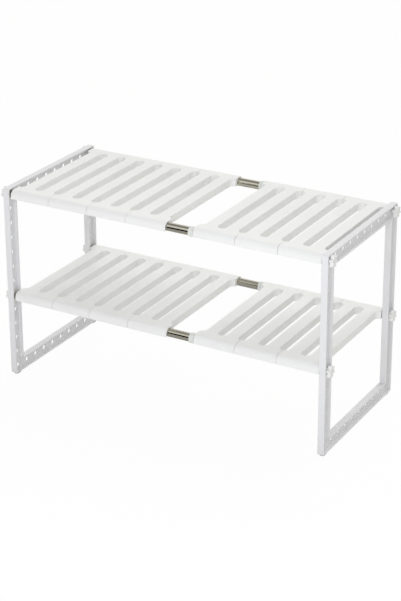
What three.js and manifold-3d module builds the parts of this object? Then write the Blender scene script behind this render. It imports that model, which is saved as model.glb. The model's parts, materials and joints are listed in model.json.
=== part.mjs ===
// Expandable two-tier shelf organizer: two moulded side frames, telescoping steel tubes, and rows of
// slatted panels that saddle the tubes. Millimetres, +Z up, X along the width, Y from front to rear.
// The origin is on the floor, under the middle of the rack.
import * as THREE from 'three';
import { mergeVertices } from 'three/addons/utils/BufferGeometryUtils.js';
import Module from 'manifold-3d';

const wasm = await Module();
wasm.setup();

// Fits
const FIT_GAP = 0.3; // play between pieces that touch
const SEAT_CLEARANCE = 0.4; // play of a tube end in the frame's channel

// Telescoping tubes
const INNER_TUBE_DIAMETER = 16;
const INNER_TUBE_WALL = 0.8;
const OUTER_TUBE_WALL = 0.5;
const TUBE_OVERLAP = 130; // inner tube inside the outer one, at the width drawn
const COLLAR_LENGTH = 10;
const COLLAR_LIP = 3; // closes the collar down on the inner tube
const COLLAR_WALL = 0.5;
const COLLAR_CLEARANCE = 0.8; // between a collar and the panel beside it

// Side frames, an I section bent round a rectangle
const FRAME_DEPTH = 290;
const FRAME_HEIGHT = 380;
const FRAME_THICKNESS = 12.4;
const FLANGE = 3.5;
const WEB = 2;
const CORNER_RADIUS = 3;
const POCKET_RADIUS = 1.5; // corners of the channel, inside the outer flange
const OPENING_RADIUS = 3;
const POST_HOLES = 13; // up each post
const RAIL_HOLES = 10; // along each rail, the corners among them
const END_HOLE_INSET = 0.3; // a post's end holes, inwards of the rails' row of holes
const HOLE_CLEARANCE = 1; // round a screw
const SHELF_DROP_HOLES = 7; // from the upper shelf, at the top hole, down to the lower one

// Feet
const FOOT_HEIGHT = 3;
const FOOT_LENGTH = 16;
const FOOT_WIDTH = 9.5;
const FOOT_INSET = 4; // from the frame's front and rear
const FOOT_ROUND = 0.8;

// Panels
const LEFT_PANELS = 4; // per shelf, on the inner tubes
const RIGHT_PANELS = 3; // per shelf, on the outer tubes
const PANEL_PITCH = 83.6;
const PANEL_SEAM = 0.6;
const PIPE_GAP = 55.8; // between the two groups, for pipes
const LEFT_STANDOFF = 3.1; // left group from its frame
const RIGHT_STANDOFF = 0.9; // right group from its frame
const SLOT_WIDTH = 18.4;
const SLOT_MARGIN = 4.5; // from a saddle to the tip of a slot
const SLAT_DEPTH = 15.4; // height of the slats' side walls
const PANEL_WALL = 1.9;
const PANEL_EDGE = 1.5; // easing of the upper edges
const SADDLE_REACH = 5.5; // how far a saddle's legs hang below the tube's axis

// Thumbscrews
const STUD_DIAMETER = 6;
const STUD_GRIP = 16; // in the plug
const KNOB_LOBES = 6;
const KNOB_RADIUS = 9.4; // mean
const LOBE_HEIGHT = 2.3;
const KNOB_TURN = -17; // degrees from the rear up to the first lobe, as the screws are left
const KNOB_THICKNESS = 6.5;
const KNOB_EASING = 1.6;
const KNOB_STANDOFF = 0.7; // head from the frame's outer face
const KNOB_BOSS_DIAMETER = 10.6;
const KNOB_DISH_DIAMETER = 9;
const KNOB_DISH_DEPTH = 1.2;
const KNOB_CROWN = 1.3; // plastic between the stud's end and the dish

// End plugs
const PLUG_LENGTH = 18; // in the tube
const PLUG_RIM = 1.5; // covers the tube's end

// Facets
const TUBE_SIDES = 16;
const PLUG_SIDES = 8;
const HOLE_SIDES = 8;
const STUD_SIDES = 8;
const BOSS_SIDES = 8;
const POINTS_PER_LOBE = 5;
const CORNER_STEPS = 2; // in a quarter turn
const SLOT_STEPS = 3; // in a quarter turn

// Worked out from the sizes above
const innerRadius = INNER_TUBE_DIAMETER / 2;
const outerBore = innerRadius + FIT_GAP;
const outerRadius = outerBore + OUTER_TUBE_WALL;
const saddleBore = outerRadius + FIT_GAP;
const saddleRadius = saddleBore + PANEL_WALL;
const channel = 2 * (outerRadius + SEAT_CLEARANCE); // between a member's flanges
const member = channel + 2 * FLANGE; // width of a post or rail
const recess = (FRAME_THICKNESS - WEB) / 2; // depth of the channel on each side
const tubeY = FRAME_DEPTH / 2 - member / 2;
const frameBottom = FOOT_HEIGHT + FIT_GAP;
const frameTop = frameBottom + FRAME_HEIGHT;
const holeRadius = STUD_DIAMETER / 2 + HOLE_CLEARANCE;
const endHole = member / 2 + END_HOLE_INSET; // from the frame's top or bottom
const postPitch = (FRAME_HEIGHT - 2 * endHole) / (POST_HOLES - 1);
const railPitch = (2 * tubeY) / (RAIL_HOLES - 1);
const upperHeight = frameTop - endHole;
const shelfHeights = { lower: upperHeight - SHELF_DROP_HOLES * postPitch, upper: upperHeight };
const panelRun = (LEFT_PANELS + RIGHT_PANELS) * PANEL_PITCH;
const width = 2 * FRAME_THICKNESS + LEFT_STANDOFF + panelRun + PIPE_GAP + RIGHT_STANDOFF;
const frameX = width / 2 - FRAME_THICKNESS / 2; // middle of a frame's web
const leftGroupX = -width / 2 + FRAME_THICKNESS + LEFT_STANDOFF;
const rightGroupX = width / 2 - FRAME_THICKNESS - RIGHT_STANDOFF - RIGHT_PANELS * PANEL_PITCH;
const collarX = rightGroupX - COLLAR_CLEARANCE - COLLAR_LENGTH;
const mouthX = collarX + COLLAR_LIP + FIT_GAP; // open end of the outer tubes
const tubeEndX = frameX - WEB / 2 - FIT_GAP - PLUG_RIM - FIT_GAP; // where a tube meets its plug's rim

const materials = {
  frame: new THREE.MeshStandardMaterial({ color: 0xe6e6e9, roughness: 0.42 }),
  panel: new THREE.MeshStandardMaterial({ color: 0xf0f0ee, roughness: 0.45 }),
  steel: new THREE.MeshStandardMaterial({ color: 0xb9b6b0, roughness: 0.18, metalness: 1 }),
  collar: new THREE.MeshStandardMaterial({ color: 0xe9eae4, roughness: 0.4 }),
  knob: new THREE.MeshStandardMaterial({ color: 0xf4f4f2, roughness: 0.25 }),
  stud: new THREE.MeshStandardMaterial({ color: 0xb0b2b5, roughness: 0.35, metalness: 1 }),
  plug: new THREE.MeshStandardMaterial({ color: 0xe2e2df, roughness: 0.5 }),
  foot: new THREE.MeshStandardMaterial({ color: 0xd5d5d5, roughness: 0.7 }),
};

// Points

function arc(cx, cy, radius, from, to, steps) {
  const points = [];
  for (let i = 0; i <= steps; i++) {
    const angle = from + ((to - from) * i) / steps;
    points.push(new THREE.Vector2(cx + radius * Math.cos(angle), cy + radius * Math.sin(angle)));
  }
  return points;
}

function circle(cx, cy, radius, sides) {
  return arc(cx, cy, radius, 0, 2 * Math.PI, sides).slice(0, -1);
}

function roundedRectangle(halfWidth, low, high, radius, steps) {
  const x = halfWidth - radius;
  const quarter = Math.PI / 2;
  return [
    ...arc(x, low + radius, radius, -quarter, 0, steps),
    ...arc(x, high - radius, radius, 0, quarter, steps),
    ...arc(-x, high - radius, radius, quarter, 2 * quarter, steps),
    ...arc(-x, low + radius, radius, 2 * quarter, 3 * quarter, steps),
  ];
}

function stadium(cx, halfWidth, halfLength, steps) {
  const y = halfLength - halfWidth;
  return [
    ...arc(cx, y, halfWidth, 0, Math.PI, steps),
    ...arc(cx, -y, halfWidth, Math.PI, 2 * Math.PI, steps),
  ];
}

// Solids

function outline(points, holes = []) {
  const shape = new THREE.Shape(points);
  shape.holes = holes.map((hole) => new THREE.Path(hole));
  return shape;
}

function solid(geometry) {
  geometry.deleteAttribute('normal');
  geometry.deleteAttribute('uv');
  const merged = mergeVertices(geometry, 1e-4);
  const mesh = new wasm.Mesh({
    numProp: 3,
    vertProperties: new Float32Array(merged.attributes.position.array),
    triVerts: new Uint32Array(merged.index.array),
  });
  return new wasm.Manifold(mesh);
}

// A plan view drawn in X and Y, raised from z0 to z1. easing rounds its edges within the outline.
function slab(shape, z0, z1, easing = 0) {
  const geometry = new THREE.ExtrudeGeometry(shape, {
    depth: z1 - z0 - 2 * easing,
    bevelEnabled: easing > 0,
    bevelSize: easing,
    bevelThickness: easing,
    bevelOffset: -easing,
    bevelSegments: 1,
  });
  return geometry.translate(0, 0, z0 + easing);
}

const alongX = new THREE.Matrix4().makeBasis(
  new THREE.Vector3(0, 1, 0),
  new THREE.Vector3(0, 0, 1),
  new THREE.Vector3(1, 0, 0),
);

// A side view drawn in Y and Z, drawn out from x0 to x1
function prism(shape, x0, x1, easing = 0) {
  return slab(shape, x0, x1, easing).applyMatrix4(alongX);
}

// A profile of [x, radius] points that closes on itself, turned about the X axis
function turned(profile, sides) {
  const points = [...profile, profile[0]].map(([x, radius]) => new THREE.Vector2(radius, x));
  const turn = new THREE.Matrix4().makeBasis(
    new THREE.Vector3(0, 0, 1),
    new THREE.Vector3(1, 0, 0),
    new THREE.Vector3(0, 1, 0),
  );
  return new THREE.LatheGeometry(points, sides).applyMatrix4(turn);
}

function geometryOf(manifold) {
  const { vertProperties, triVerts } = manifold.getMesh();
  const geometry = new THREE.BufferGeometry();
  geometry.setAttribute('position', new THREE.BufferAttribute(vertProperties, 3));
  geometry.setIndex(new THREE.BufferAttribute(triVerts, 1));
  geometry.computeVertexNormals();
  return geometry;
}

const rack = new THREE.Group();

function place(name, geometry, material, x, y, z) {
  const mesh = new THREE.Mesh(geometry, material);
  mesh.name = name;
  mesh.position.set(x, y, z);
  rack.add(mesh);
  return mesh;
}

// Side frame: an outer and an inner flange joined by a thin web, pierced all round by screw holes

function frameGeometry() {
  const ring = (inset, easing) => roundedRectangle(
    FRAME_DEPTH / 2 - inset, frameBottom + inset, frameTop - inset, easing, CORNER_STEPS,
  );
  const rim = ring(0, CORNER_RADIUS);
  const opening = ring(member, OPENING_RADIUS);
  const outerFlange = ring(FLANGE, POCKET_RADIUS);
  const innerFlange = ring(member - FLANGE, OPENING_RADIUS + FLANGE);
  const pocket = outline(outerFlange, [innerFlange]);
  let body = solid(prism(outline(rim, [opening]), -FRAME_THICKNESS / 2, FRAME_THICKNESS / 2))
    .subtract(solid(prism(pocket, WEB / 2, FRAME_THICKNESS)))
    .subtract(solid(prism(pocket, -FRAME_THICKNESS, -WEB / 2)));
  const drill = (y, z) => {
    body = body.subtract(solid(prism(outline(circle(y, z, holeRadius, HOLE_SIDES)), -WEB, WEB)));
  };
  for (let i = 0; i < POST_HOLES; i++) {
    drill(-tubeY, upperHeight - i * postPitch);
    drill(tubeY, upperHeight - i * postPitch);
  }
  for (let i = 1; i < RAIL_HOLES - 1; i++) {
    drill(-tubeY + i * railPitch, frameBottom + member / 2);
    drill(-tubeY + i * railPitch, frameTop - member / 2);
  }
  return geometryOf(body);
}

// Panel: two slats with deep side walls, a slot between them, half a slot along each edge, and a
// saddle at each end. Its corner is at x = 0 and its top is at z = 0.

function panelGeometry() {
  const low = PANEL_SEAM / 2;
  const high = PANEL_PITCH - PANEL_SEAM / 2;
  const middle = PANEL_PITCH / 2;
  const half = SLOT_WIDTH / 2;
  const tip = tubeY - saddleRadius - SLOT_MARGIN;
  // a longer strip with the slots at both seams, trimmed to one panel, so that half slots meet there
  const edge = tubeY + PANEL_EDGE; // the strip's own edges lie inside the saddles
  const strip = [
    new THREE.Vector2(-SLOT_WIDTH, -edge),
    new THREE.Vector2(PANEL_PITCH + SLOT_WIDTH, -edge),
    new THREE.Vector2(PANEL_PITCH + SLOT_WIDTH, edge),
    new THREE.Vector2(-SLOT_WIDTH, edge),
  ];
  const slots = [0, middle, PANEL_PITCH].map((x) => stadium(x, half, tip, 2 * SLOT_STEPS).reverse());
  const trim = new THREE.BoxGeometry(high - low, FRAME_DEPTH, 2 * SLAT_DEPTH).translate(middle, 0, 0);
  let body = solid(slab(outline(strip, slots), -SLAT_DEPTH - PANEL_EDGE, 0, PANEL_EDGE))
    .intersect(solid(trim));

  // the slats are hollow underneath, from saddle to saddle
  const slat = PANEL_PITCH / 2 - SLOT_WIDTH;
  const hollowLength = 2 * (tubeY - saddleRadius - FIT_GAP);
  for (const x of [half + slat / 2, PANEL_PITCH - half - slat / 2]) {
    const hollow = new THREE.BoxGeometry(slat - 2 * PANEL_WALL, hollowLength, 2 * SLAT_DEPTH);
    body = body.subtract(solid(hollow.translate(x, 0, -SLAT_DEPTH - PANEL_WALL)));
  }
  const legEnd = -saddleRadius - SADDLE_REACH;
  for (const side of [-1, 1]) {
    const y = side * tubeY;
    const shell = [...arc(y, -saddleRadius, saddleRadius, 0, Math.PI, TUBE_SIDES / 2),
      new THREE.Vector2(y - saddleRadius, legEnd), new THREE.Vector2(y + saddleRadius, legEnd)];
    const bore = [...arc(y, -saddleRadius, saddleBore, 0, Math.PI, TUBE_SIDES / 2),
      new THREE.Vector2(y - saddleBore, 2 * legEnd), new THREE.Vector2(y + saddleBore, 2 * legEnd)];
    body = body.add(solid(prism(outline(shell), low, high)))
      .subtract(solid(prism(outline(bore), -PANEL_SEAM, PANEL_PITCH + PANEL_SEAM)));
  }
  return geometryOf(body);
}

// Thumbscrew knob: a lobed head and a boss that reaches the web. x = 0 is the frame's outer face.

function knobGeometry() {
  const count = KNOB_LOBES * POINTS_PER_LOBE;
  const lobed = Array.from({ length: count }, (_, i) => {
    const angle = (2 * Math.PI * i) / count;
    const radius = KNOB_RADIUS + LOBE_HEIGHT * Math.cos(KNOB_LOBES * angle);
    const turn = angle + THREE.MathUtils.degToRad(KNOB_TURN);
    return new THREE.Vector2(radius * Math.cos(turn), radius * Math.sin(turn));
  });
  const face = KNOB_STANDOFF + KNOB_THICKNESS;
  const dishFloor = face - KNOB_DISH_DEPTH;
  const boss = outline(circle(0, 0, KNOB_BOSS_DIAMETER / 2, BOSS_SIDES));
  const socket = outline(circle(0, 0, STUD_DIAMETER / 2 + FIT_GAP, STUD_SIDES));
  const dishRadius = KNOB_DISH_DIAMETER / 2;
  const dishProfile = [[dishFloor, 0], [face, dishRadius], [2 * face, dishRadius], [2 * face, 0]];
  const body = solid(prism(outline(lobed), KNOB_STANDOFF, face, KNOB_EASING))
    .add(solid(prism(boss, -recess + FIT_GAP, KNOB_STANDOFF + KNOB_EASING)))
    .subtract(solid(prism(socket, -2 * recess, dishFloor - KNOB_CROWN)))
    .subtract(solid(turned(dishProfile, BOSS_SIDES)));
  return geometryOf(body);
}

function studGeometry() {
  const tip = -recess - WEB - FIT_GAP - STUD_GRIP;
  const head = KNOB_STANDOFF + KNOB_THICKNESS - KNOB_DISH_DEPTH - KNOB_CROWN - FIT_GAP;
  return prism(outline(circle(0, 0, STUD_DIAMETER / 2, STUD_SIDES)), tip, head);
}

function tubeGeometry(radius, wall, length) {
  const section = outline(circle(0, 0, radius, TUBE_SIDES), [circle(0, 0, radius - wall, TUBE_SIDES)]);
  return prism(section, 0, length);
}

// Collar: caps the mouth of an outer tube and closes down on the inner one
function collarGeometry() {
  const rim = outerRadius + FIT_GAP;
  return turned([[0, outerBore], [0, rim + COLLAR_WALL], [COLLAR_LENGTH, rim + COLLAR_WALL],
    [COLLAR_LENGTH, rim], [COLLAR_LIP, rim], [COLLAR_LIP, outerBore]], TUBE_SIDES);
}

// Plug: a threaded bush pressed into a tube, with a rim that meets the frame's web. x = 0 is the rim.
function plugGeometry(tubeRadius, tubeBore) {
  const bore = STUD_DIAMETER / 2 + FIT_GAP;
  const body = tubeBore - FIT_GAP;
  const end = PLUG_RIM + PLUG_LENGTH;
  const rim = [[0, bore], [0, tubeRadius], [PLUG_RIM, tubeRadius]];
  return turned([...rim, [PLUG_RIM, body], [end, body], [end, bore]], PLUG_SIDES);
}

const footPlan = outline(stadium(0, FOOT_WIDTH / 2, FOOT_LENGTH / 2, 2 * CORNER_STEPS));
const frameShape = frameGeometry();
const panelShape = panelGeometry();
const knobShape = knobGeometry();
const studShape = studGeometry();
const footShape = slab(footPlan, 0, FOOT_HEIGHT, FOOT_ROUND);
const collarShape = collarGeometry();

const innerEnd = mouthX + TUBE_OVERLAP;
const inner = { kind: 'inner_tube', radius: innerRadius, wall: INNER_TUBE_WALL, end: innerEnd };
const outer = { kind: 'outer_tube', radius: outerRadius, wall: OUTER_TUBE_WALL, end: mouthX };
const halves = [
  { name: 'left', side: -1, turn: Math.PI, tube: inner },
  { name: 'right', side: 1, turn: 0, tube: outer },
];
const ends = [{ name: 'front', y: -tubeY }, { name: 'rear', y: tubeY }];

for (const { name, side, turn, tube } of halves) {
  place(`${name}_frame`, frameShape, materials.frame, side * frameX, 0, 0);
  const tubeShape = tubeGeometry(tube.radius, tube.wall, Math.abs(tube.end - side * tubeEndX));
  const plugShape = plugGeometry(tube.radius, tube.radius - tube.wall);
  const tubeX = Math.min(tube.end, side * tubeEndX);
  const rimX = side * (tubeEndX + FIT_GAP + PLUG_RIM);
  const faceX = (side * width) / 2;
  for (const { name: edge, y } of ends) {
    const footY = Math.sign(y) * (FRAME_DEPTH / 2 - FOOT_INSET - FOOT_LENGTH / 2);
    place(`${name}_${edge}_foot`, footShape, materials.foot, side * frameX, footY, 0);
    for (const [level, z] of Object.entries(shelfHeights)) {
      const corner = `${name}_${level}_${edge}`;
      place(`${level}_${edge}_${tube.kind}`, tubeShape, materials.steel, tubeX, y, z);
      place(`${corner}_plug`, plugShape, materials.plug, rimX, y, z).rotation.z = Math.PI - turn;
      place(`${corner}_stud`, studShape, materials.stud, faceX, y, z).rotation.z = turn;
      place(`${corner}_knob`, knobShape, materials.knob, faceX, y, z).rotation.z = turn;
    }
  }
}

for (const [level, z] of Object.entries(shelfHeights)) {
  for (const { name: edge, y } of ends) {
    place(`${level}_${edge}_collar`, collarShape, materials.collar, collarX, y, z);
  }
  for (let i = 0; i < LEFT_PANELS + RIGHT_PANELS; i++) {
    const onInner = i < LEFT_PANELS;
    const x = onInner ? leftGroupX + i * PANEL_PITCH : rightGroupX + (i - LEFT_PANELS) * PANEL_PITCH;
    const top = z + (onInner ? innerRadius : outerRadius) + FIT_GAP + PANEL_WALL;
    place(`${level}_panel_${i + 1}`, panelShape, materials.panel, x, 0, top);
  }
}

export default rack;
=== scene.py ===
# %% [markdown]
# # An expandable two-tier shelf organizer
# This lesson dresses a shelf rack for the cupboard under a sink: two moulded side frames, steel tubes
# that slide in one another, and slatted panels that saddle the tubes. A frame of measured solids says
# where every piece is, so the first step is to load it. Everything made later takes its place and size
# from those boxes.

# %% Load the measured frame
import json
import math

import bmesh
import bpy
from mathutils import Matrix, Vector


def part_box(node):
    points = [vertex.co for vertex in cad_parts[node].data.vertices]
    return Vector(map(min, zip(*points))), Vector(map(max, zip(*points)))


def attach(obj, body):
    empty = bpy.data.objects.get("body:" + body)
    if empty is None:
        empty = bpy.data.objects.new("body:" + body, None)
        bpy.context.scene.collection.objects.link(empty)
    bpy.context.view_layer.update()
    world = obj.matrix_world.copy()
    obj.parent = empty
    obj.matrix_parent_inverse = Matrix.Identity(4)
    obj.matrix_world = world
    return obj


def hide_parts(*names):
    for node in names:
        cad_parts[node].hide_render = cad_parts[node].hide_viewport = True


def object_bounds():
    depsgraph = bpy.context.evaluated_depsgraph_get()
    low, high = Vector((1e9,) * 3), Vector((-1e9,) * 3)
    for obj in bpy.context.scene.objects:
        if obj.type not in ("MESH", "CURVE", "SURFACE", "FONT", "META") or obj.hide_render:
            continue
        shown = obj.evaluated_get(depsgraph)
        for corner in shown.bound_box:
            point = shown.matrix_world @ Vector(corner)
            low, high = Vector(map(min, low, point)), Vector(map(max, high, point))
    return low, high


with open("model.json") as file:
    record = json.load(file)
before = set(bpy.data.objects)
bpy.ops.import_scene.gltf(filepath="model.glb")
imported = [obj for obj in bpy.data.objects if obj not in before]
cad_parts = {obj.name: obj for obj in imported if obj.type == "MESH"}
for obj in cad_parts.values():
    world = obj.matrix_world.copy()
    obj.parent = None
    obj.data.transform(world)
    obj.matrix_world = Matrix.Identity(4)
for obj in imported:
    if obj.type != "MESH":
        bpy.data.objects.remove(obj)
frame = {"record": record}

MM = 0.001  # one millimetre, in Blender's metres
solid_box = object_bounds()
behaviour = frame["record"]["behaviour"]
body_of = {piece: body for body, pieces in behaviour["bodies"].items() for piece in pieces}
slot_of = {part["node"]: part["material_slot"] for part in frame["record"]["subparts"]}

# %% [markdown]
# ## Measures that the pieces share
# The tubes run through the middle of the frame's posts, and the saddles wrap the tubes. So the tubes'
# axes and radii and the frame's outline are read from the boxes once, for all the pieces that meet them.
# The play between pieces is too small to see in a picture, so it is named here beside them.

# %% Read the shared measures
PLAY = 0.3 * MM  # between pieces that slide or seat
sides, levels, ends = ("left", "right"), ("lower", "upper"), ("front", "rear")
tube_places = [(level, end) for level in levels for end in ends]
frame_low, frame_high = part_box("left_frame")


def on_tube(x, level, end):
    """The point at x on the axis of a tube."""
    low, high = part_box(f"{level}_{end}_inner_tube")
    return Vector((x, (low.y + high.y) / 2, (low.z + high.z) / 2))


def length_of(node_name):
    """How long a piece is along X."""
    low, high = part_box(node_name)
    return high.x - low.x


def radius_of(node_name):
    """The radius of a piece that is round about X."""
    low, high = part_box(node_name)
    return (high.z - low.z) / 2


INNER_TUBE_RADIUS = radius_of("upper_front_inner_tube")
OUTER_TUBE_RADIUS = radius_of("upper_front_outer_tube")
TUBE_Y = on_tube(0, "upper", "rear").y  # the front tubes lie at -TUBE_Y
shelf_heights = [on_tube(0, level, "front").z for level in levels]
print("tube axes at y", round(TUBE_Y, 4), "and z", [round(z, 4) for z in shelf_heights])

# %% [markdown]
# ## Arcs and skins
# Nearly every piece of this rack is a smooth skin over a row of rings: a lathe's circles, a knob's lobed
# outlines, a post's section carried round a rectangle. Blender's primitives and modifiers could make some
# of them, but one small function that joins rings into a closed mesh makes them all, with the points that
# we chose. The outlines are drawn with arcs, and their soft edges with a rounding.

# %% Draw arcs and roundings
EDGE_STEPS = 4  # faces round a small edge
ROUND_STEPS = 5  # faces round a softer one


def sweep(start, stop, steps):
    """Angles from start to stop, which are given in degrees."""
    return [math.radians(start + (stop - start) * i / steps) for i in range(steps + 1)]


def arc(across, up, radius, start, stop, steps=EDGE_STEPS):
    """Points on an arc about (across, up)."""
    angles = sweep(start, stop, steps)
    return [(across + radius * math.cos(a), up + radius * math.sin(a)) for a in angles]


def rounding(radius, stop=90, steps=ROUND_STEPS):
    """(how far sideways, how far from the face) along a rounded edge, from its flank to the face."""
    return [(radius * (1 - math.cos(a)), radius * (1 - math.sin(a))) for a in sweep(0, stop, steps)]


print("a quarter arc has", len(arc(0, 0, 1, 0, 90)), "points and a rounding", len(rounding(1)))

# %% Join rings into a closed mesh
LATHE_FACETS = 64


def skin(name, rings, endless=False):
    """A closed mesh over rings of equally many points. An endless row of rings closes on itself."""
    mesh = bpy.data.meshes.new(name)
    shell = bmesh.new()
    rows = [[shell.verts.new(point) for point in ring] for ring in rings]
    pairs = list(zip(rows, rows[1:]))
    if endless:
        pairs.append((rows[-1], rows[0]))
    else:
        shell.faces.new(rows[0])
        shell.faces.new(rows[-1])
    for near, far in pairs:
        for i in range(len(near)):
            j = (i + 1) % len(near)
            shell.faces.new((near[i], near[j], far[j], far[i]))
    bmesh.ops.recalc_face_normals(shell, faces=shell.faces)
    shell.to_mesh(mesh)
    shell.free()
    return mesh


def turned(name, profile, facets=LATHE_FACETS, endless=False):
    """A profile of (x, radius) points, turned about the X axis as on a lathe."""
    angles = [2 * math.pi * i / facets for i in range(facets)]
    rings = [[(x, r * math.cos(a), r * math.sin(a)) for a in angles] for x, r in profile]
    return skin(name, rings, endless)


print("a turned ring has", LATHE_FACETS, "points")

# %% [markdown]
# ## Cutting and smoothing
# Holes and slots are cut with booleans, as a moulder's core pins and slides would leave them. Each cutter
# is a skin too, flared where it leaves the surface, so the edge that it cuts is already rounded.
# Afterwards the flat faces should stay flat in the light while the small roundings roll: weighted normals
# do that, and they are kept in the mesh so that all copies of a piece share them.

# %% Cut with a tool


def bench(mesh):
    """Lays a mesh on the bench as an object, so that modifiers can work on it."""
    piece = bpy.data.objects.new(mesh.name, mesh)
    bpy.context.scene.collection.objects.link(piece)
    return piece


def evaluated(piece):
    """The piece's mesh with its modifiers applied. The piece itself is taken away."""
    shaped = bpy.data.meshes.new_from_object(piece.evaluated_get(bpy.context.evaluated_depsgraph_get()))
    shaped.name = piece.data.name
    bpy.data.objects.remove(piece)
    return shaped


def cut(mesh, cutters):
    """The mesh less all the cutters, which must not touch one another."""
    tool_mesh = bpy.data.meshes.new("cutters")
    together = bmesh.new()
    for cutter in cutters:
        together.from_mesh(cutter)
    together.to_mesh(tool_mesh)
    together.free()
    tool, body = bench(tool_mesh), bench(mesh)
    carve = body.modifiers.new("cut", "BOOLEAN")
    carve.operation = "DIFFERENCE"
    carve.solver = "EXACT"
    carve.object = tool
    shaped = evaluated(body)
    bpy.data.objects.remove(tool)
    return shaped


# %% Smooth the rounds and keep the flats
SHARP = math.radians(38)  # edges that fold more than this stay crisp
WELD = 0.004 * MM  # points nearer than this become one


def smoothed(mesh):
    """Rounds shaded smooth, flats flat, and folds sharper than SHARP crisp."""
    shell = bmesh.new()
    shell.from_mesh(mesh)
    bmesh.ops.remove_doubles(shell, verts=shell.verts, dist=WELD)
    bmesh.ops.dissolve_degenerate(shell, edges=shell.edges, dist=WELD)
    for face in shell.faces:
        face.smooth = True
    for edge in shell.edges:
        edge.smooth = len(edge.link_faces) == 2 and edge.calc_face_angle() < SHARP
    shell.to_mesh(mesh)
    shell.free()
    piece = bench(mesh)
    normals = piece.modifiers.new("weighted", "WEIGHTED_NORMAL")
    normals.keep_sharp = True
    normals.weight = 100  # the largest face at a point decides
    return evaluated(piece)


print("folds sharper than", round(math.degrees(SHARP)), "degrees stay crisp")

# %% [markdown]
# ## White plastics
# The frames, panels, collars, plugs and knobs are all white mouldings, but no two whites agree: the
# frames are a little cool, the panels warm, and the knobs glossy. Each gets the marks of moulding: a
# broad, faint mottle where the melt flowed, a fine grain from the spark-eroded tool, and a gloss that
# wanders. An image could hold these marks, but noise keeps its scale on every piece. It is
# four-dimensional, and its fourth axis is each piece's own random number, so that no two panels look
# cloned.

# %% Build patterns from nodes
PIECES_APART = 40  # spread of the pieces along the noise's fourth axis
NOISE_LOW, NOISE_HIGH = 0.3, 0.7  # most of the noise lies between these


def node(tree, kind, **settings):
    made = tree.nodes.new(kind)
    for key, value in settings.items():
        setattr(made, key, value)
    return made


def noise(tree, waves, detail, stretch=(1, 1, 1)):
    """Noise in the piece's own space, different on every piece, with so many waves to the metre."""
    place = node(tree, "ShaderNodeTexCoord")
    squeeze = node(tree, "ShaderNodeMapping")
    squeeze.inputs["Scale"].default_value = stretch
    tree.links.new(place.outputs["Object"], squeeze.inputs["Vector"])
    piece = node(tree, "ShaderNodeObjectInfo")
    apart = node(tree, "ShaderNodeMath", operation="MULTIPLY")
    apart.inputs[1].default_value = PIECES_APART
    tree.links.new(piece.outputs["Random"], apart.inputs[0])
    made = node(tree, "ShaderNodeTexNoise", noise_dimensions="4D")
    made.inputs["Scale"].default_value = waves
    made.inputs["Detail"].default_value = detail
    tree.links.new(squeeze.outputs["Vector"], made.inputs["Vector"])
    tree.links.new(apart.outputs["Value"], made.inputs["W"])
    return made.outputs["Fac"]


def span(tree, value, low, high):
    """Spreads noise, which keeps near a half, from low to high."""
    spread = node(tree, "ShaderNodeMapRange")
    limits = {"From Min": NOISE_LOW, "From Max": NOISE_HIGH, "To Min": low, "To Max": high}
    for key, number in limits.items():
        spread.inputs[key].default_value = number
    tree.links.new(value, spread.inputs["Value"])
    return spread.outputs["Result"]


print("noise between", NOISE_LOW, "and", NOISE_HIGH, "is spread over a pattern's whole range")

# %% Lay patterns on a finish


def new_finish(name):
    finish = bpy.data.materials.new(name)
    finish.use_nodes = True
    tree = finish.node_tree
    return finish, tree, tree.nodes["Principled BSDF"]


def tint(tree, pattern, colours, socket):
    """Blends two colours by a pattern into a colour socket."""
    blend = node(tree, "ShaderNodeMix", data_type="RGBA")
    tree.links.new(span(tree, pattern, low=0, high=1), blend.inputs["Factor"])
    for key, colour in zip(("A", "B"), colours):
        entry = next(s for s in blend.inputs if s.name == key and s.type == "RGBA")
        entry.default_value = (*colour, 1)
    result = next(s for s in blend.outputs if s.type == "RGBA")
    tree.links.new(result, socket)


def relief(tree, height, depth, strength, below=None):
    """Bump of a depth in metres, laid over the bump below it."""
    bump = node(tree, "ShaderNodeBump")
    bump.inputs["Distance"].default_value = depth
    bump.inputs["Strength"].default_value = strength
    tree.links.new(height, bump.inputs["Height"])
    if below:
        tree.links.new(below, bump.inputs["Normal"])
    return bump.outputs["Normal"]


print("patterns can tint a finish, set its gloss and raise its surface")

# %% Make the moulded whites
PLASTIC_IOR = 1.49
FLOW_SHADE = 0.972  # the melt's darker streaks, as a share of the colour
GLOSS_WANDER = 0.05
SATIN_GRAIN = 0.3


def moulded_white(name, colour, roughness, grain=SATIN_GRAIN):
    """A satin or glossy white moulding. The grain is the strength of the tool's texture."""
    finish, tree, plastic = new_finish(name)
    flow = noise(tree, waves=16, detail=3)
    streak = [channel * FLOW_SHADE for channel in colour]
    tint(tree, flow, (streak, colour), plastic.inputs["Base Color"])
    wander = noise(tree, waves=70, detail=2)
    gloss = span(tree, wander, low=roughness - GLOSS_WANDER, high=roughness + GLOSS_WANDER)
    tree.links.new(gloss, plastic.inputs["Roughness"])
    sink = relief(tree, noise(tree, waves=22, detail=1), depth=0.4 * MM, strength=0.12)
    fine = noise(tree, waves=1400, detail=2)
    texture = relief(tree, fine, depth=0.05 * MM, strength=grain, below=sink)
    tree.links.new(texture, plastic.inputs["Normal"])
    plastic.inputs["IOR"].default_value = PLASTIC_IOR
    return finish


whites = {
    "frame_plastic": {"colour": (0.792, 0.792, 0.797), "roughness": 0.45},
    "panel_plastic": {"colour": (0.88, 0.879, 0.86), "roughness": 0.5},
    "collar_plastic": {"colour": (0.76, 0.775, 0.735), "roughness": 0.4},
    "plug_plastic": {"colour": (0.72, 0.72, 0.69), "roughness": 0.5},
    "knob_plastic": {"colour": (0.87, 0.868, 0.85), "roughness": 0.18, "grain": 0.1},
}
finishes = {slot: moulded_white(slot, **look) for slot, look in whites.items()}
print("white finishes:", ", ".join(finishes))

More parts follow.
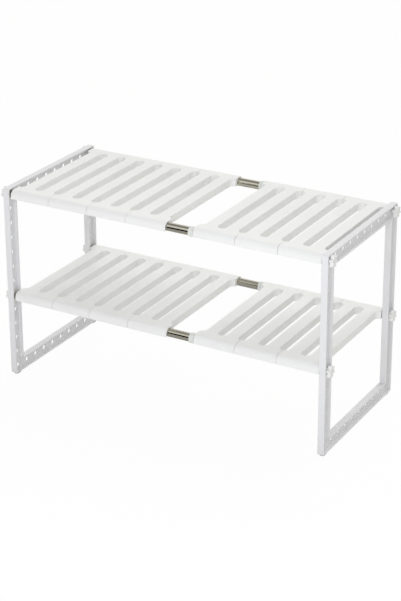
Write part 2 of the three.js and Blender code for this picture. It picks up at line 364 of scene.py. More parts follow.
# %% [markdown]
# ## Steel and rubber
# The tubes are polished stainless steel, seen bare in the pipe gap. Drawing leaves fine lines along a
# tube. An anisotropic shader would smear its reflections evenly, so noise that is stretched along X draws
# separate lines instead. The studs are zinc-plated, duller and a little clouded, and the feet are a soft
# grey rubber whose roughness hides all reflections.

# %% Make the steel, the zinc and the rubber


def drawn_steel(name):
    """Bright tube with the lines of drawing along it."""
    finish, tree, steel = new_finish(name)
    lines = noise(tree, waves=700, detail=2, stretch=(0.012, 1, 1))
    tint(tree, lines, ((0.51, 0.485, 0.405), (0.6, 0.57, 0.48)), steel.inputs["Base Color"])
    tree.links.new(span(tree, lines, low=0.08, high=0.13), steel.inputs["Roughness"])
    tree.links.new(relief(tree, lines, depth=0.01 * MM, strength=0.06), steel.inputs["Normal"])
    steel.inputs["Metallic"].default_value = 1
    return finish


def zinc_plate(name):
    """Dull plating with faint clouds."""
    finish, tree, zinc = new_finish(name)
    cloud = noise(tree, waves=240, detail=4)
    tint(tree, cloud, ((0.5, 0.51, 0.53), (0.66, 0.67, 0.68)), zinc.inputs["Base Color"])
    tree.links.new(span(tree, cloud, low=0.28, high=0.42), zinc.inputs["Roughness"])
    frost = noise(tree, waves=2500, detail=2)
    tree.links.new(relief(tree, frost, depth=0.02 * MM, strength=0.3), zinc.inputs["Normal"])
    zinc.inputs["Metallic"].default_value = 1
    return finish


def grey_rubber(name):
    """Soft rubber with the pale bloom that it gets with age."""
    finish, tree, rubber = new_finish(name)
    bloom = noise(tree, waves=180, detail=3)
    tint(tree, bloom, ((0.56, 0.56, 0.56), (0.63, 0.63, 0.62)), rubber.inputs["Base Color"])
    tree.links.new(span(tree, bloom, low=0.62, high=0.8), rubber.inputs["Roughness"])
    pores = noise(tree, waves=1800, detail=3)
    tree.links.new(relief(tree, pores, depth=0.08 * MM, strength=0.4), rubber.inputs["Normal"])
    return finish


finishes["tube_steel"] = drawn_steel("tube_steel")
finishes["stud_steel"] = zinc_plate("stud_steel")
finishes["foot_rubber"] = grey_rubber("foot_rubber")
print("finishes now:", len(finishes))

# %% [markdown]
# ## Dressing a solid
# A finished mesh takes the place of a measured solid: it is put where the solid is, it rides on the
# solid's body so that it moves with the rack, and it says which material slot of the record it wears.
# Pieces that are alike share one mesh.

# %% Put a finished mesh in a solid's place


def dress(node_name, mesh, spot, half_turn=False):
    piece = bpy.data.objects.new(f"dressed_{node_name}", mesh)
    bpy.context.scene.collection.objects.link(piece)
    piece.location = spot
    piece.rotation_euler.z = math.pi if half_turn else 0
    if not mesh.materials:
        mesh.materials.append(finishes[slot_of[node_name]])
    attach(piece, body_of[node_name])
    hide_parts(node_name)
    return piece


print("slots in the record:", sorted(set(slot_of.values())))

# %% [markdown]
# ## Side frames
# A side frame is one moulding: an I section carried round a rectangle, with an outer flange, an inner
# flange and a thin web between them that is pierced all round by screw holes. Extruding the outline and
# cutting two pockets would leave hard edges. Instead the I section is drawn once, with rounded flange
# edges and filleted roots, and each of its points becomes a rounded rectangle. Those rectangles are the
# rings of one endless skin.

# %% Draw the I section
FLANGE = 3.5 * MM
HALF_WEB = 1 * MM
FLANGE_EDGE = 0.6 * MM
ROOT_FILLET = 0.9 * MM
MEMBER = 2 * (frame_high.y - TUBE_Y)  # width of a post or rail, centred on the tubes
frame_half = (frame_high - frame_low) / 2


def i_section():
    """(inset from the rim, x) points all round the section."""
    edge, root = FLANGE_EDGE, ROOT_FILLET
    brim = frame_half.x - edge
    inner = MEMBER - FLANGE
    half = [
        *arc(edge, brim, edge, 180, 90),
        *arc(FLANGE - edge, brim, edge, 90, 0),
        *arc(FLANGE + root, HALF_WEB + root, root, 180, 270),
        *arc(inner - root, HALF_WEB + root, root, 270, 360),
        *arc(inner + edge, brim, edge, 180, 90),
        *arc(MEMBER - edge, brim, edge, 90, 0),
    ]
    return half + [(inset, -x) for inset, x in reversed(half)]


print("I section:", len(i_section()), "points, member", round(MEMBER / MM, 2), "mm wide")

# %% Carry the section round the frame
CORNER_RADIUS = 3 * MM
POCKET_RADIUS = 1.5 * MM  # corners of the channel, inside the outer flange
OPENING_RADIUS = 3 * MM
CORNER_STEPS = 10
frame_middle = (frame_low + frame_high) / 2


def corner_radius(inset):
    """Tightens from the rim to the pocket, then widens over the web and closes in on the opening."""
    if inset <= FLANGE:
        return CORNER_RADIUS + (POCKET_RADIUS - CORNER_RADIUS) * inset / FLANGE
    if inset >= MEMBER - FLANGE:
        return OPENING_RADIUS + MEMBER - inset
    share = (inset - FLANGE) / (MEMBER - 2 * FLANGE)
    return POCKET_RADIUS * (1 - share) + (OPENING_RADIUS + FLANGE) * share


def round_rectangle(across, up, half_width, half_height, radius, steps):
    """Points round a rectangle with round corners about (across, up)."""
    w, h = half_width - radius, half_height - radius
    corners = ((w, -h, -90), (w, h, 0), (-w, h, 90), (-w, -h, 180))
    arcs = [arc(across + x, up + y, radius, start, start + 90, steps) for x, y, start in corners]
    return [point for corner in arcs for point in corner]


def frame_ring(inset, x):
    """The frame's outline at an inset from its rim."""
    half_width, half_height = frame_half.y - inset, frame_half.z - inset
    outline = round_rectangle(
        frame_middle.y, frame_middle.z, half_width, half_height, corner_radius(inset), CORNER_STEPS)
    return [(x, y, z) for y, z in outline]


frame_blank = skin("side_frame", [frame_ring(inset, x) for inset, x in i_section()], endless=True)
print("frame blank:", len(frame_blank.polygons), "faces")

# %% [markdown]
# The screw holes sit on one pitch up the posts, so that a shelf can be set at any of them, and on another
# along the rails. A turned cutter that flares at both faces of the web leaves each hole with a soft edge.

# %% Pierce the web
POST_HOLES = 13
RAIL_HOLES = 10  # the corners among them
HOLES_BETWEEN_SHELVES = 7
HOLE_RADIUS = 4 * MM
HOLE_EDGE = 0.4 * MM
HOLE_SLOPE = 75  # degrees round the edge, where the cutter leaves the web
HOLE_CLEAR = 1.6 * MM  # how much wider it is once it is clear of the web
HOLE_FACETS = 32
post_pitch = (shelf_heights[1] - shelf_heights[0]) / HOLES_BETWEEN_SHELVES
rail_pitch = 2 * TUBE_Y / (RAIL_HOLES - 1)


def hole_cutter(y, z):
    """A pin along X that flares at both faces of the web."""
    flare = [(HALF_WEB - below, HOLE_RADIUS + out) for out, below in rounding(HOLE_EDGE, HOLE_SLOPE)]
    clear = (flare[-1][0] + HOLE_EDGE, flare[-1][1] + HOLE_CLEAR)
    half = [*flare, clear]
    cutter = turned("hole", [(-x, r) for x, r in reversed(half)] + half, HOLE_FACETS)
    cutter.transform(Matrix.Translation((0, y, z)))
    return cutter


post_heights = [shelf_heights[1] - i * post_pitch for i in range(POST_HOLES)]
rail_places = [-TUBE_Y + i * rail_pitch for i in range(1, RAIL_HOLES - 1)]
rail_heights = (frame_low.z + MEMBER / 2, frame_high.z - MEMBER / 2)
hole_spots = [(y, z) for y in (-TUBE_Y, TUBE_Y) for z in post_heights]
hole_spots += [(y, z) for y in rail_places for z in rail_heights]
frame_mesh = smoothed(cut(frame_blank, [hole_cutter(y, z) for y, z in hole_spots]))
for side in sides:
    low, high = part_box(f"{side}_frame")
    dress(f"{side}_frame", frame_mesh, ((low.x + high.x) / 2, 0, 0))
print("each frame has", len(hole_spots), "holes and", len(frame_mesh.polygons), "faces")

# %% [markdown]
# ## Slatted panels
# A panel is a wide moulding with a saddle along its front and rear edge that snaps over the tubes. Seen
# from the end it is one long section: two arches with legs, joined by a deep deck. A box with bevels
# would lose the arches, so the section is drawn and becomes the ring of a skin along X. It is drawn in a
# little at both ends, so that the seam between two panels has soft edges.

# %% Draw the panel's end section
PANEL_WALL = 1.9 * MM
DECK_DEPTH = 15.4 * MM
LEG_ROUND = 0.5 * MM
ARCH_STEPS = 14
panel_low, panel_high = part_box("upper_panel_1")
LEG_END = panel_low.z - panel_high.z  # the top of a panel is at z = 0
SADDLE_RADIUS = panel_high.y - TUBE_Y
bore = SADDLE_RADIUS - PANEL_WALL


def half_section():
    """The front half of the section, as (y, z) points from the top middle round to the bottom middle."""
    y, axis, leg = -TUBE_Y, -SADDLE_RADIUS, LEG_ROUND
    outside, inside = y - SADDLE_RADIUS, y + SADDLE_RADIUS
    return [
        *arc(y, axis, SADDLE_RADIUS, 90, 180, ARCH_STEPS),
        *arc(outside + leg, LEG_END + leg, leg, 180, 270),
        *arc(y - bore - leg, LEG_END + leg, leg, 270, 360),
        *arc(y, axis, bore, 180, 0, 2 * ARCH_STEPS),
        *arc(y + bore + leg, LEG_END + leg, leg, 180, 270),
        (inside - leg, LEG_END),
        (inside, -DECK_DEPTH),
    ]


front_half = half_section()
end_section = front_half + [(-y, z) for y, z in reversed(front_half)]
print("panel section:", len(end_section), "points, saddle radius", round(SADDLE_RADIUS / MM, 2), "mm")

# %% Run the section from seam to seam
SEAM_ROUND = 0.4 * MM  # less than LEG_ROUND, or the drawn-in section would fold
SHARPEST_TURN = 0.5  # limits how far the point of a sharp turn is drawn in
PANEL_WIDTH = panel_high.x - panel_low.x


def inset_outline(points, distance):
    """A closed outline drawn in by a distance, each point along the bisector of its two edges."""
    drawn = []
    for i, here in enumerate(points):
        before = Vector(here) - Vector(points[i - 1])
        after = Vector(points[(i + 1) % len(points)]) - Vector(here)
        from_before = Vector((-before.y, before.x)).normalized()
        from_after = Vector((-after.y, after.x)).normalized()
        inward = (from_before + from_after).normalized()
        reach = max(inward.dot(from_after), SHARPEST_TURN)
        drawn.append(Vector(here) + inward * (distance / reach))
    return drawn


def panel_ring(x, draw):
    return [(x, y, z) for y, z in inset_outline(end_section, draw)]


seam_edge = rounding(SEAM_ROUND)
stations = [(x, draw) for draw, x in reversed(seam_edge)]
stations += [(PANEL_WIDTH - x, draw) for draw, x in seam_edge]
panel_blank = skin("shelf_panel", [panel_ring(x, draw) for x, draw in stations])
print("panel blank:", len(panel_blank.polygons), "faces,", round(PANEL_WIDTH / MM, 1), "mm wide")

# %% [markdown]
# Three slots pierce the deck: one down the middle and half of one along each seam, which meets the
# neighbour's half. Their rims are well rounded above. Two more cutters hollow the slats from below,
# because a moulding has walls of one thickness. All of them are rows of rounded outlines, wider wherever
# an edge should be soft.

# %% Shape the slot cutters
SLOT_WIDTH = 18.4 * MM
SLOT_MARGIN = 4.5 * MM  # from a saddle to the tip of a slot
RIM_ROUND = 1.5 * MM
RIM_STEPS = 8
LIP_ROUND = 0.45 * MM
LIP_STEPS = 3
STEEPEST = 78  # degrees round an edge, just short of grazing the face that it meets
OBLONG_STEPS = 12
HAIR = 0.01 * MM  # left straight between the two corners of a round end
slot_tip = TUBE_Y - SADDLE_RADIUS - SLOT_MARGIN
lip = [(out, -DECK_DEPTH + above) for out, above in rounding(LIP_ROUND, STEEPEST, LIP_STEPS)]
below_deck = (lip[-1][0] + RIM_ROUND, -DECK_DEPTH - RIM_ROUND)


def oblong(x, half_width, half_length, radius, z, steps=OBLONG_STEPS):
    """A rectangle with round corners about (x, 0), at a height."""
    return [(px, py, z) for px, py in round_rectangle(x, 0, half_width, half_length, radius, steps)]


def slot_cutter(x):
    """A round-ended slot that widens at the deck's top and at its underside."""
    rim = [(out, -below) for out, below in rounding(RIM_ROUND, STEEPEST, RIM_STEPS)]
    over = (rim[-1][0] + RIM_ROUND, rim[-1][1] + RIM_ROUND / math.tan(math.radians(STEEPEST)))
    half = SLOT_WIDTH / 2
    rings = [oblong(x, half + out, slot_tip + out, half + out - HAIR, z)
             for out, z in [over, *reversed(rim), *lip, below_deck]]
    return skin("slot", rings)


print("slots", round(SLOT_WIDTH / MM, 1), "mm wide and", round(2 * slot_tip / MM, 1), "mm long")

# %% Shape the hollows of the slats
ROOF_ROUND = 0.9 * MM
HOLLOW_CORNER = 2.5 * MM
HOLLOW_STEPS = 5
PANEL_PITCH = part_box("upper_panel_2")[0].x - panel_low.x
slat_width = PANEL_PITCH / 2 - SLOT_WIDTH


def slat_hollow(x):
    """The space under a slat, rounded at its roof and open below."""
    roof = [(-out, -PANEL_WALL - below) for out, below in reversed(rounding(ROOF_ROUND))]
    half, reach = slat_width / 2 - PANEL_WALL, TUBE_Y - SADDLE_RADIUS - PLAY
    rings = [oblong(x, half + out, reach + out, HOLLOW_CORNER + out, z, HOLLOW_STEPS)
             for out, z in [*roof, *lip, below_deck]]
    return skin("hollow", rings)


print("slats", round(slat_width / MM, 1), "mm wide with walls of", round(PANEL_WALL / MM, 1), "mm")

# %% Cut a panel and lay all fourteen
PANELS_ON_A_SHELF = 7
seam_gap = PANEL_PITCH - PANEL_WIDTH
slot_places = [i * PANEL_PITCH / 2 - seam_gap / 2 for i in range(3)]
slat_places = [(a + b) / 2 for a, b in zip(slot_places, slot_places[1:])]
panel_mesh = cut(panel_blank, [slot_cutter(x) for x in slot_places])
panel_mesh = smoothed(cut(panel_mesh, [slat_hollow(x) for x in slat_places]))
for level in levels:
    for number in range(1, PANELS_ON_A_SHELF + 1):
        low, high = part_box(f"{level}_panel_{number}")
        dress(f"{level}_panel_{number}", panel_mesh, (low.x, 0, high.z))
print(len(levels) * PANELS_ON_A_SHELF, "panels share a mesh of", len(panel_mesh.polygons), "faces")

# %% [markdown]
# ## Telescoping tubes
# The inner tubes slide in the outer ones, which is what lets the rack grow wider. A cylinder with a
# solidify modifier would have square ends. Here the profile goes once round the wall, and the turned skin
# is endless, so the ends of the wall are rounded as a deburring wheel leaves them.

# %% Turn the tubes
INNER_WALL = 0.8 * MM
OUTER_WALL = 0.5 * MM
WALL_STEPS = 6


def tube_profile(length, radius, wall):
    """(x, radius) points once round the wall."""
    edge = wall / 2
    near = arc(edge, radius - edge, edge, 270, 90, WALL_STEPS)
    return near + [(length - x, r) for x, r in reversed(near)]


for kind, wall in (("inner_tube", INNER_WALL), ("outer_tube", OUTER_WALL)):
    length, radius = length_of(f"upper_front_{kind}"), radius_of(f"upper_front_{kind}")
    tube_mesh = smoothed(turned(kind, tube_profile(length, radius, wall), endless=True))
    for level, end in tube_places:
        low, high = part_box(f"{level}_{end}_{kind}")
        dress(f"{level}_{end}_{kind}", tube_mesh, on_tube(low.x, level, end))
    print(kind, "length", round(length / MM, 1), "mm, radius", round(radius / MM, 2), "mm")

# %% [markdown]
# A collar caps the mouth of each outer tube and closes down on the inner one, so that the step between
# them is soft. It is turned in the same way, with a lip that is thicker than its sleeve.

# %% Turn the collars
COLLAR_LIP = 3 * MM
COLLAR_EDGE = 0.8 * MM
COLLAR_STEPS = 6
collar_length, collar_radius = length_of("upper_front_collar"), radius_of("upper_front_collar")
lip_bore, sleeve_bore = INNER_TUBE_RADIUS + PLAY, OUTER_TUBE_RADIUS + PLAY
bore_edge = COLLAR_EDGE / 2
sleeve_edge = (collar_radius - sleeve_bore) / 2
collar_profile = [
    *arc(bore_edge, lip_bore + bore_edge, bore_edge, 270, 180),
    *arc(COLLAR_EDGE, collar_radius - COLLAR_EDGE, COLLAR_EDGE, 180, 90, COLLAR_STEPS),
    *arc(collar_length - sleeve_edge, collar_radius - sleeve_edge, sleeve_edge, 90, -90, COLLAR_STEPS),
    (COLLAR_LIP, sleeve_bore),
    (COLLAR_LIP, lip_bore),
]
collar_mesh = smoothed(turned("collar", collar_profile, endless=True))
for level, end in tube_places:
    low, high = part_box(f"{level}_{end}_collar")
    dress(f"{level}_{end}_collar", collar_mesh, on_tube(low.x, level, end))
print("collars", round(collar_length / MM, 1), "mm long,", round(2 * collar_radius / MM, 1), "mm across")

# %% [markdown]
# ## Thumbscrews
# A thumbscrew is a lobed knob moulded round a threaded stud. A plain turned knob would miss its petals,
# so each ring's radius swells and shrinks six times as it goes round. How much of that swelling a ring
# gets is written beside its place in the profile: none on the boss and the dish, all of it on the rim.

# %% Draw a lobed ring
KNOB_LOBES = 6
LOBE_HEIGHT = 2.3 * MM
LOBE_FULLNESS = 2.2  # above 2 the petals are broad and the valleys between them narrow
KNOB_TURN = math.radians(-17)  # from the rear up to the first petal
KNOB_SIDES = 96
knob_low, knob_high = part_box("right_upper_front_knob")
knob_mean = (knob_high.y - knob_low.y) / 2 / math.cos(KNOB_TURN) - LOBE_HEIGHT


def lobed_ring(x, radius, share):
    """A ring about X with a share of the lobes."""
    ring = []
    for i in range(KNOB_SIDES):
        a = 2 * math.pi * i / KNOB_SIDES
        swell = 1 - 2 * abs(math.sin(KNOB_LOBES * a / 2)) ** LOBE_FULLNESS
        r = radius + LOBE_HEIGHT * share * swell
        ring.append((x, r * math.cos(a + KNOB_TURN), r * math.sin(a + KNOB_TURN)))
    return ring


print("knob", round(2 * (knob_mean + LOBE_HEIGHT) / MM, 1), "mm over its petals")

# %% Loft the knob
HEAD_THICKNESS = 6.5 * MM
BOSS_RADIUS = 5.3 * MM
SOCKET_RADIUS = 3.3 * MM
DISH_RADIUS = 4.5 * MM
DISH_DEPTH = 1.2 * MM
CROWN = 1.3 * MM  # plastic between the socket and the dish
KNOB_EDGE = 0.5 * MM
BRIM_ROUND = 1.7 * MM
BRIM_STOP = 12  # degrees, where the rounded brim runs out on the face
BRIM_STEPS = 7
BRIM_FLAT = 0.6 * MM
FLAT_FALL = 0.05 * MM  # from the brim to the dish
BRIM_LOBES, DISH_LOBES = 0.7, 0.15  # shares of the lobes left on the face and beside the dish
DISH_SWEEP = (80, 15)  # degrees, from its rim towards its middle


def outer_face(side):
    """The x of a frame's outer face, from which its knobs are measured."""
    low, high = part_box(f"{side}_frame")
    return low.x if side == "left" else high.x


knob_face = knob_high.x - outer_face("right")
boss_end = knob_low.x - outer_face("right")
head_back = knob_face - HEAD_THICKNESS
socket_end = knob_face - DISH_DEPTH - CROWN


def knob_profile():
    """(x, radius, share of the lobes) from the socket's floor round the outside to the dish's middle."""
    soft, brim = KNOB_EDGE, BRIM_ROUND
    boss = arc(boss_end + soft, BOSS_RADIUS - soft, soft, 180, 90)
    back = arc(head_back + soft, knob_mean - soft, soft, 180, 90)
    front = arc(knob_face - brim, knob_mean - brim, brim, 90, BRIM_STOP, BRIM_STEPS)
    hollow = [(knob_face - DISH_DEPTH * math.cos(a), DISH_RADIUS * math.sin(a))
              for a in sweep(*DISH_SWEEP, ROUND_STEPS)]
    return [
        (socket_end, SOCKET_RADIUS - soft, 0),
        (socket_end - soft, SOCKET_RADIUS, 0),
        (boss_end + soft, SOCKET_RADIUS, 0),
        (boss_end, SOCKET_RADIUS + soft, 0),
        *[(x, r, 0) for x, r in boss],
        (head_back - soft, BOSS_RADIUS, 0),
        (head_back, BOSS_RADIUS + soft, 0),
        *[(x, r, 1) for x, r in back],
        *[(x, r, 1) for x, r in front],
        (knob_face, knob_mean - brim - BRIM_FLAT, BRIM_LOBES),
        (knob_face - FLAT_FALL, DISH_RADIUS + soft, DISH_LOBES),
        *[(x, r, 0) for x, r in hollow],
    ]


knob_mesh = smoothed(skin("knob", [lobed_ring(*point) for point in knob_profile()]))
print("knob", round((knob_face - boss_end) / MM, 1), "mm deep,", len(knob_mesh.polygons), "faces")

# %% [markdown]
# The stud's thread is a helix, so its rings are not circles: the crest moves one turn round for every
# millimetre along. Each ring asks how far every one of its points is from the crest, and both ends taper
# as a rolled thread does. Most of it hides in the plug, but it shows when a knob is unscrewed.

# %% Roll the stud's thread
THREAD_PITCH = 1 * MM
THREAD_DEPTH = 0.55 * MM
CREST_WIDTH = 1.5  # above 1 the crests are flat-topped, as rolled threads are
RINGS_PER_TURN = 8
STUD_SIDES = 32
stud_length, stud_radius = length_of("right_upper_front_stud"), radius_of("right_upper_front_stud")


def thread_ring(x):
    """A ring of the helix, at a distance from the stud's inner end."""
    ring = []
    to_end = min(x, stud_length - x)
    limit = stud_radius - THREAD_DEPTH + min(to_end, THREAD_DEPTH)
    for i in range(STUD_SIDES):
        a = 2 * math.pi * i / STUD_SIDES
        turn = (x / THREAD_PITCH - i / STUD_SIDES) % 1
        crest = min(1, CREST_WIDTH * (1 - abs(2 * turn - 1)))
        r = min(stud_radius - THREAD_DEPTH * (1 - crest), limit)
        ring.append((x, r * math.cos(a), r * math.sin(a)))
    return ring


ring_count = round(stud_length / THREAD_PITCH * RINGS_PER_TURN)
thread_rings = [thread_ring(stud_length * i / ring_count) for i in range(ring_count + 1)]
stud_mesh = smoothed(skin("stud", thread_rings))
print("studs", round(stud_length / MM, 1), "mm long,", round(stud_length / THREAD_PITCH), "turns of thread")

# %% Set the eight thumbscrews
screw_places = [(side, level, end) for side in sides for level, end in tube_places]
for side, level, end in screw_places:
    screw = f"{side}_{level}_{end}"
    left = side == "left"
    low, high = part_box(f"{screw}_stud")
    dress(f"{screw}_knob", knob_mesh, on_tube(outer_face(side), level, end), left)
    dress(f"{screw}_stud", stud_mesh, on_tube(high.x if left else low.x, level, end), left)
print(len(screw_places), "thumbscrews set")

# %% [markdown]
# ## End plugs
# A plug is pressed into the end of each tube, and its rim covers the tube's end and meets the frame's
# web. The stud screws into its bore. A cylinder with a hole cut through it would serve, but a profile
# that is turned once round the wall gives the rim, the bore and their chamfers together. There are two
# sizes, one for each tube.

# %% Turn the plugs
PLUG_RIM = 1.5 * MM
PLUG_EDGE = 0.4 * MM


def plug_profile(length, tube_radius, wall):
    """(x, radius) points from the rim's bore round the outside to the far end of the bore."""
    hole, body = stud_radius + PLAY, tube_radius - wall - PLAY
    return [
        (PLUG_EDGE, hole),
        (0, hole + PLUG_EDGE),
        *arc(PLUG_EDGE, tube_radius - PLUG_EDGE, PLUG_EDGE, 180, 90),
        (PLUG_RIM, tube_radius),
        (PLUG_RIM, body),
        (length - 2 * PLUG_EDGE, body),
        (length, body - 2 * PLUG_EDGE),
        (length, hole + PLUG_EDGE),
        (length - PLUG_EDGE, hole),
    ]


tube_on = {"left": (INNER_TUBE_RADIUS, INNER_WALL), "right": (OUTER_TUBE_RADIUS, OUTER_WALL)}
for side in sides:
    left = side == "left"
    length = length_of(f"{side}_upper_front_plug")
    plug_mesh = smoothed(turned(f"{side}_plug", plug_profile(length, *tube_on[side]), endless=True))
    for level, end in tube_places:
        low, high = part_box(f"{side}_{level}_{end}_plug")
        rim_face = low.x if left else high.x
        dress(f"{side}_{level}_{end}_plug", plug_mesh, on_tube(rim_face, level, end), not left)
    print(side, "plugs", round(length / MM, 1), "mm long")

# %% [markdown]
# ## Feet
# Each frame stands on two small rubber pads, short stadiums with soft edges. A bevelled box has only one
# roundness for all its edges, so they are made as a stack of round outlines, a little drawn in at the top
# and bottom.

# %% Stack the feet
FOOT_EDGE = 0.8 * MM
foot_low, foot_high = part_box("left_front_foot")
foot_half = (foot_high - foot_low) / 2
foot_height = foot_high.z - foot_low.z
foot_edge = rounding(FOOT_EDGE)
foot_stack = [*reversed(foot_edge), *[(draw, foot_height - z) for draw, z in foot_edge]]
foot_rings = [oblong(0, foot_half.x - draw, foot_half.y - draw, foot_half.x - draw - HAIR, z)
              for draw, z in foot_stack]
foot_mesh = smoothed(skin("foot", foot_rings))
for side in sides:
    for end in ends:
        low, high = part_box(f"{side}_{end}_foot")
        dress(f"{side}_{end}_foot", foot_mesh, ((low.x + high.x) / 2, (low.y + high.y) / 2, low.z))
print("feet", round(foot_height / MM, 1), "mm high")

# %% [markdown]
# ## Camera
# The picture was taken from the front right, well above the rack, with a long lens. Its tall format was
# cropped so that the lens axis lies above the middle of the picture, and the shift says by how much. A
# track-to constraint could aim the camera but not roll it, so yaw, pitch and roll are turned into its own
# axes, which are the columns of its rotation.

# %% Place the camera
PICTURE = (401, 601)  # pixels
FOCAL_PIXELS = 1700
AXIS_ROW = 190.5  # pixel row that the lens axis meets
CAMERA_SPOT = Vector((1.4597, -2.5314, 1.4804))
YAW, PITCH, ROLL = math.radians(-29.88), math.radians(20.42), math.radians(-0.225)
SENSOR = 36  # mm along the picture's long side
FAR_CLIP = 60  # metres, past the far edge of the floor

ahead = Vector((math.sin(YAW) * math.cos(PITCH), math.cos(YAW) * math.cos(PITCH), -math.sin(PITCH)))
level_right = Vector((math.cos(YAW), -math.sin(YAW), 0))
level_up = level_right.cross(ahead)
right = level_right * math.cos(ROLL) + level_up * math.sin(ROLL)
up = level_up * math.cos(ROLL) - level_right * math.sin(ROLL)
lens = bpy.data.cameras.new("camera")
lens.sensor_width = SENSOR
lens.lens = FOCAL_PIXELS * SENSOR / max(PICTURE)
lens.shift_y = (AXIS_ROW - PICTURE[1] / 2) / max(PICTURE)
lens.clip_end = FAR_CLIP
camera = bpy.data.objects.new("camera", lens)
bpy.context.scene.collection.objects.link(camera)
camera.matrix_world = Matrix.Translation(CAMERA_SPOT) @ Matrix((right, up, -ahead)).transposed().to_4x4()
bpy.context.scene.camera = camera
print("lens", round(lens.lens, 1), "mm, shift", round(lens.shift_y, 3))

# %% [markdown]
# ## Floor and sky
# The rack stands on white. A floor lit to pure white would also bleach the rack, so the floor and the sky
# are white only to rays that come straight from the camera, from a reflection or through glass. To all
# other rays the floor is a pale matt sheet and the sky a soft, plain light. A share of the matt sheet
# stays in what the camera sees, so the floor keeps the rack's shadow.

# %% Tell seen rays from bounced light


def seen_directly(tree):
    """1 for camera, glossy and transmission rays, else 0."""
    ray = node(tree, "ShaderNodeLightPath")
    total = ray.outputs["Is Camera Ray"]
    for name in ("Is Glossy Ray", "Is Transmission Ray"):
        either = node(tree, "ShaderNodeMath", operation="MAXIMUM")
        tree.links.new(total, either.inputs[0])
        tree.links.new(ray.outputs[name], either.inputs[1])
        total = either.outputs["Value"]
    return total


def mixed(tree, share, first, second):
    """The first shader, giving way to the second by a share."""
    blend = node(tree, "ShaderNodeMixShader")
    tree.links.new(share, blend.inputs["Fac"])
    tree.links.new(first, blend.inputs[1])
    tree.links.new(second, blend.inputs[2])
    return blend.outputs["Shader"]


def cleared(owner):
    """The owner's node tree, emptied."""
    owner.use_nodes = True
    owner.node_tree.nodes.clear()
    return owner.node_tree


print("white is for camera, glossy and transmission rays")

# %% Lay the floor
FLOOR_REACH = 15  # metres from the middle to each edge
FLOOR_GAP = 0.1 * MM  # under the feet
FLOOR_WHITE = 0.95  # share of plain white in the floor that the camera sees
FLOOR_MATT = (0.9, 0.895, 0.876)


def white_floor():
    """White where it is seen, matt to other light, and open from below."""
    finish = bpy.data.materials.new("white_floor")
    tree = cleared(finish)
    matt = node(tree, "ShaderNodeBsdfDiffuse")
    matt.inputs["Color"].default_value = (*FLOOR_MATT, 1)
    white = node(tree, "ShaderNodeEmission")
    share = node(tree, "ShaderNodeMath", operation="MULTIPLY")
    share.inputs[1].default_value = FLOOR_WHITE
    tree.links.new(seen_directly(tree), share.inputs[0])
    top = mixed(tree, share.outputs["Value"], matt.outputs["BSDF"], white.outputs["Emission"])
    face = node(tree, "ShaderNodeNewGeometry")
    clear = node(tree, "ShaderNodeBsdfTransparent")
    out = node(tree, "ShaderNodeOutputMaterial")
    both_sides = mixed(tree, face.outputs["Backfacing"], top, clear.outputs["BSDF"])
    tree.links.new(both_sides, out.inputs["Surface"])
    return finish


def sheet(name, corners, finish):
    """A flat sheet that dresses the stage."""
    mesh = bpy.data.meshes.new(name)
    mesh.from_pydata(corners, [], [range(len(corners))])
    mesh.materials.append(finish)
    made = bpy.data.objects.new(name, mesh)
    bpy.context.scene.collection.objects.link(made)
    return made


def lying(xs, ys, z):
    """The corners of a level sheet over two spans, at a height."""
    return [(xs[0], ys[0], z), (xs[1], ys[0], z), (xs[1], ys[1], z), (xs[0], ys[1], z)]


floor_z = solid_box[0].z - FLOOR_GAP
floor_span = (-FLOOR_REACH, FLOOR_REACH)
sheet("floor", lying(floor_span, floor_span, floor_z), white_floor())
print("floor at", round(floor_z / MM, 2), "mm")

# %% Light the sky
SKY_LIGHT = 0.545  # with 1 as full white
SKY_COLOUR = (1, 0.996, 0.976)


def light_sky():
    """White where it is seen, and a soft light to everything else."""
    world = bpy.data.worlds.new("sky")
    bpy.context.scene.world = world
    tree = cleared(world)
    soft = node(tree, "ShaderNodeBackground")
    soft.inputs["Strength"].default_value = SKY_LIGHT
    soft.inputs["Color"].default_value = (*SKY_COLOUR, 1)
    white = node(tree, "ShaderNodeBackground")
    white.inputs["Color"].default_value = (1, 1, 1, 1)
    sky = mixed(tree, seen_directly(tree), soft.outputs["Background"], white.outputs["Background"])
    out = node(tree, "ShaderNodeOutputWorld")
    tree.links.new(sky, out.inputs["Surface"])


light_sky()
print("sky light", SKY_LIGHT)

# %% [markdown]
# ## Lights
# A backdrop that is lit to white is itself a broad, low lamp behind the rack, and it reaches the lower
# shelf under the upper one. A softbox stands close by at the front right, so its light falls off towards
# the left end. Each lamp is given by its pull: the light that a white face gets from it along each axis.

# %% Hang the lights
KEY_PULL = Vector((0.1, -0.3, 0.14))  # with 1 as full white
KEY_AWAY = 2  # metres from the middle of the rack
KEY_SIZE = 1.2  # metres along each side
KEY_COLOUR = (0.95, 0.975, 1.07)
BACK_PULL = Vector((0, 0.34, 0.31))
BACK_SPREAD = math.radians(60)
BACK_COLOUR = (1, 1, 1)


def hang(name, kind, pull, colour):
    """A lamp that stands where its pull points, and shines back along it."""
    light = bpy.data.lights.new(name, kind)
    light.energy = math.pi * pull.length
    light.color = colour
    lamp = bpy.data.objects.new(name, light)
    bpy.context.scene.collection.objects.link(lamp)
    lamp.rotation_mode = "QUATERNION"
    lamp.rotation_quaternion = pull.to_track_quat("Z", "Y")
    lamp.visible_glossy = False  # its mirror image would bleach the shelves
    return lamp


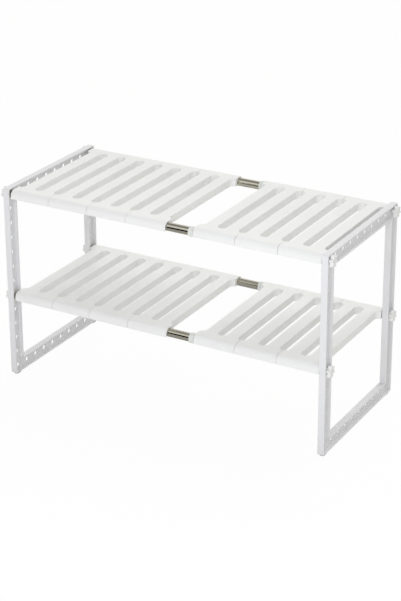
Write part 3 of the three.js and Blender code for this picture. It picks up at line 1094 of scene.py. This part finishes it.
key = hang("softbox", "AREA", KEY_PULL, KEY_COLOUR)
key.data.size = KEY_SIZE
key.data.energy *= math.pi * KEY_AWAY ** 2  # the watts that give the same light from that far
key.location = (solid_box[0] + solid_box[1]) / 2 + KEY_PULL.normalized() * KEY_AWAY
back = hang("lit_backdrop", "SUN", BACK_PULL, BACK_COLOUR)
back.data.angle = BACK_SPREAD
print("softbox", round(key.data.energy, 1), "W, backdrop strength", round(back.data.energy, 2))

# %% [markdown]
# ## Reflections
# Polished steel shows its surroundings and nothing else, and in a white void it would look like plastic.
# So grey sheets that only reflections can see stand where a studio has its dark horizon, its overhead
# scrim and its floor. They light nothing and cast no shadow.

# %% Stand the reflected sheets
HORIZON_Y = -1
HORIZON_WIDTH = (-5, 2)
HORIZON_HEIGHT = (0.05, 0.67)
HORIZON_GREY = 0.0
SCRIM_WIDTH = (-4, 1)
SCRIM_DEPTH = (-1.25, 1.4)
SCRIM_HEIGHT = 2.5
SCRIM_GREY = 0.36
GROUND_WIDTH = (-4, 2)
GROUND_DEPTH = (-1, 1.5)
GROUND_GAP = 0.05 * MM  # over the white floor
GROUND_GREY = 0.45


def standing(xs, y, zs):
    """The corners of an upright sheet over two spans, at a distance."""
    return [(xs[0], y, zs[0]), (xs[1], y, zs[0]), (xs[1], y, zs[1]), (xs[0], y, zs[1])]


def reflected(name, corners, grey):
    """A sheet of plain grey light that only reflections see."""
    finish = bpy.data.materials.new(name)
    tree = cleared(finish)
    glow = node(tree, "ShaderNodeEmission")
    glow.inputs["Color"].default_value = (grey, grey, grey, 1)
    out = node(tree, "ShaderNodeOutputMaterial")
    tree.links.new(glow.outputs["Emission"], out.inputs["Surface"])
    made = sheet(name, corners, finish)
    made.visible_camera = False
    made.visible_diffuse = False
    made.visible_shadow = False
    made.visible_transmission = False


reflected("dark_horizon", standing(HORIZON_WIDTH, HORIZON_Y, HORIZON_HEIGHT), HORIZON_GREY)
reflected("overhead_scrim", lying(SCRIM_WIDTH, SCRIM_DEPTH, SCRIM_HEIGHT), SCRIM_GREY)
reflected("grey_floor", lying(GROUND_WIDTH, GROUND_DEPTH, floor_z + GROUND_GAP), GROUND_GREY)

# %% [markdown]
# ## Finish
# White plastic only looks right when its whites are not bent by a film curve, so the view transform is the
# plain one, and the last cell sets it.

# %% Set the plain view transform
bpy.context.scene.view_settings.view_transform = "Standard"
